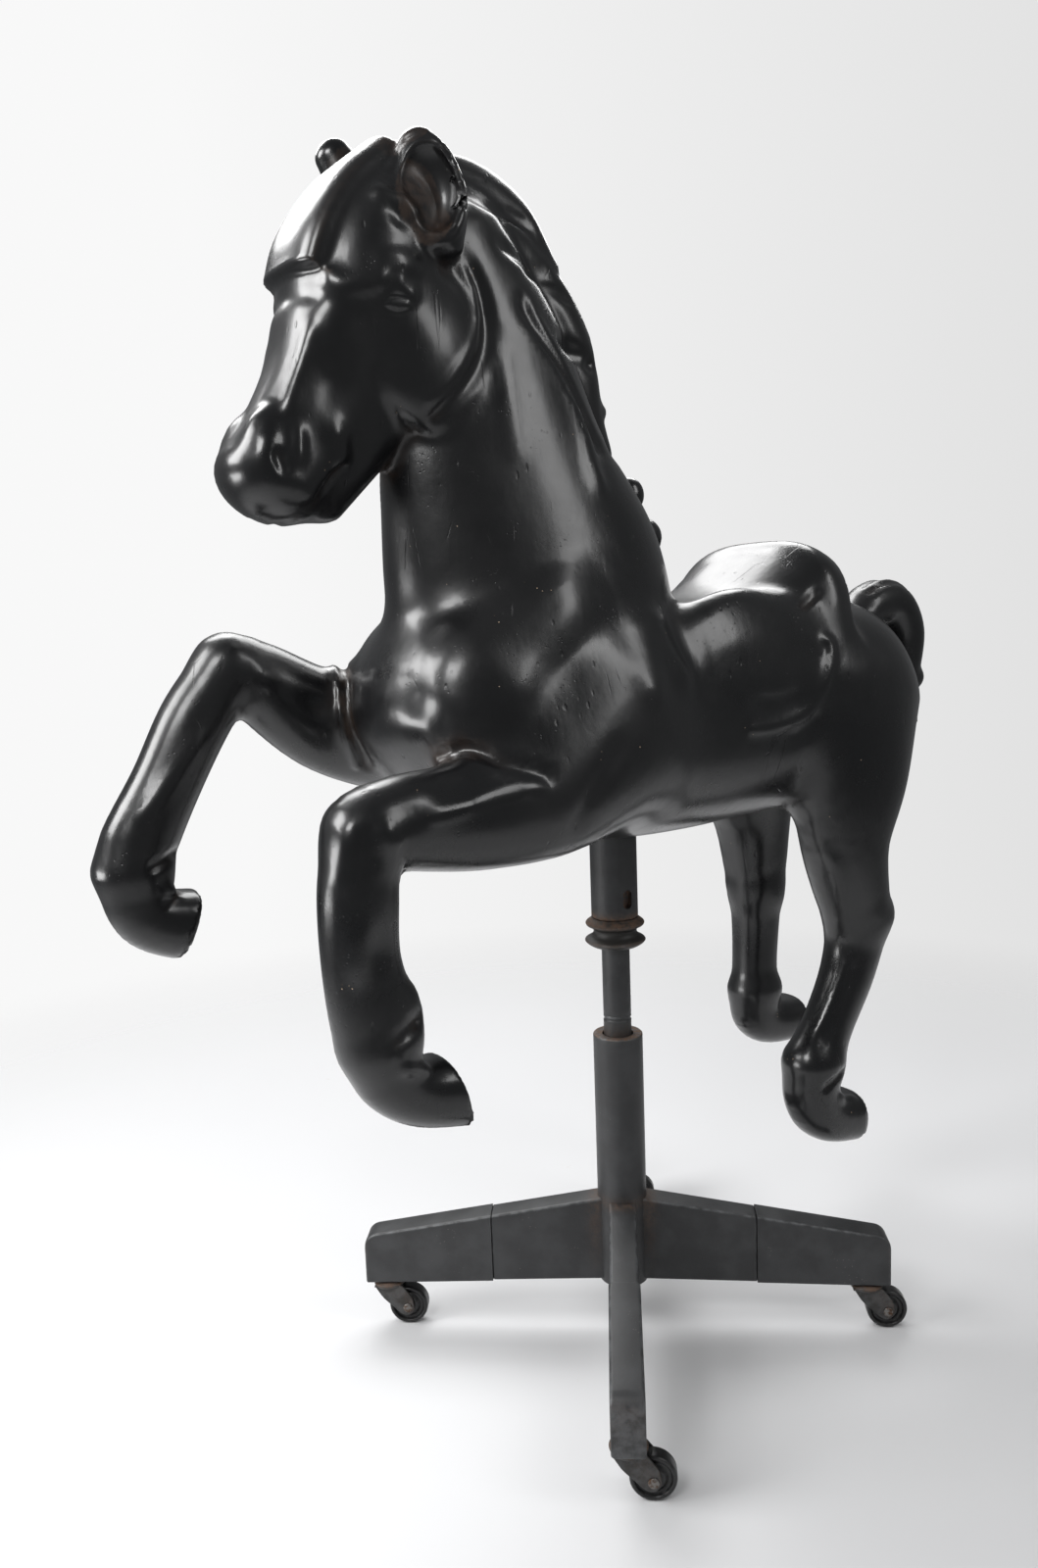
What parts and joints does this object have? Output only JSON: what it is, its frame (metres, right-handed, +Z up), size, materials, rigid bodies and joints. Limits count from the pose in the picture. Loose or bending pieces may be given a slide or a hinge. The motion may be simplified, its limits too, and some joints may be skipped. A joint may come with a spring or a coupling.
{
  "type": "carousel horse on castered swivel stand",
  "caption": "Carved leaping carousel horse in gloss black, standing on a tube column that swivels on a cross-shaped base of tapered arms with small casters.",
  "frame": {"origin": "centre of the bounding box, on the floor that the wheels stand on", "axes": "-Y is the way the horse faces, +X is its left side, +Z is up"},
  "size_m": [0.4356, 0.9516, 1.1298],
  "materials": {
    "horse_paint": "gloss black paint over carved wood, with tool marks, pits and a few pale chips",
    "tube_paint": "satin black paint on steel tube, worn and rusty at the edges",
    "arm_paint": "satin black paint on bent sheet steel, rubbed along the upper edges",
    "collar_metal": "turned steel, black paint with brown rust on the flanges",
    "caster_steel": "stamped steel, dull black with brown rust on the cup",
    "caster_tyre": "moulded black plastic, scuffed",
    "caster_pin": "dull steel rivet"
  },
  "bodies": {
    "stand": {"column_tube": "tube_paint", "arm_right": "arm_paint", "arm_cover_right": "arm_paint", "arm_front": "arm_paint", "arm_cover_front": "arm_paint", "arm_left": "arm_paint", "arm_cover_left": "arm_paint", "arm_back": "arm_paint", "arm_cover_back": "arm_paint"},
    "horse_top": {"horse": "horse_paint", "mount_tube": "tube_paint", "collar": "collar_metal", "spindle": "tube_paint"},
    "caster_right": {"caster_fork_right": "caster_steel", "caster_axle_right": "caster_pin"},
    "wheel_right": {"caster_wheel_right": "caster_tyre"},
    "caster_front": {"caster_fork_front": "caster_steel", "caster_axle_front": "caster_pin"},
    "wheel_front": {"caster_wheel_front": "caster_tyre"},
    "caster_left": {"caster_fork_left": "caster_steel", "caster_axle_left": "caster_pin"},
    "wheel_left": {"caster_wheel_left": "caster_tyre"},
    "caster_back": {"caster_fork_back": "caster_steel", "caster_axle_back": "caster_pin"},
    "wheel_back": {"caster_wheel_back": "caster_tyre"}
  },
  "joints": [
    {"name": "horse_swivel", "type": "hinge", "parent": "stand", "child": "horse_top", "pos_m": [-0.00252, -0.00241, 0.316], "axis": [0, 0, 1], "continuous": true},
    {"name": "caster_swivel_right", "type": "hinge", "parent": "stand", "child": "caster_right", "pos_m": [0.15688, 0.18758, 0.055], "axis": [0, 0, 1], "continuous": true},
    {"name": "wheel_spin_right", "type": "hinge", "parent": "caster_right", "child": "wheel_right", "pos_m": [0.16974, 0.2029, 0.0203], "axis": [-0.7661, 0.6428, 0], "continuous": true},
    {"name": "caster_swivel_front", "type": "hinge", "parent": "stand", "child": "caster_front", "pos_m": [0.18746, -0.16181, 0.055], "axis": [0, 0, 1], "continuous": true},
    {"name": "wheel_spin_front", "type": "hinge", "parent": "caster_front", "child": "wheel_front", "pos_m": [0.20031, -0.14649, 0.0203], "axis": [-0.7661, 0.6428, 0], "continuous": true},
    {"name": "caster_swivel_left", "type": "hinge", "parent": "stand", "child": "caster_left", "pos_m": [-0.16193, -0.19239, 0.055], "axis": [0, 0, 1], "continuous": true},
    {"name": "wheel_spin_left", "type": "hinge", "parent": "caster_left", "child": "wheel_left", "pos_m": [-0.14908, -0.17707, 0.0203], "axis": [-0.7661, 0.6428, 0], "continuous": true},
    {"name": "caster_swivel_back", "type": "hinge", "parent": "stand", "child": "caster_back", "pos_m": [-0.19251, 0.157, 0.055], "axis": [0, 0, 1], "continuous": true},
    {"name": "wheel_spin_back", "type": "hinge", "parent": "caster_back", "child": "wheel_back", "pos_m": [-0.17965, 0.17232, 0.0203], "axis": [-0.7661, 0.6428, 0], "continuous": true}
  ]
}
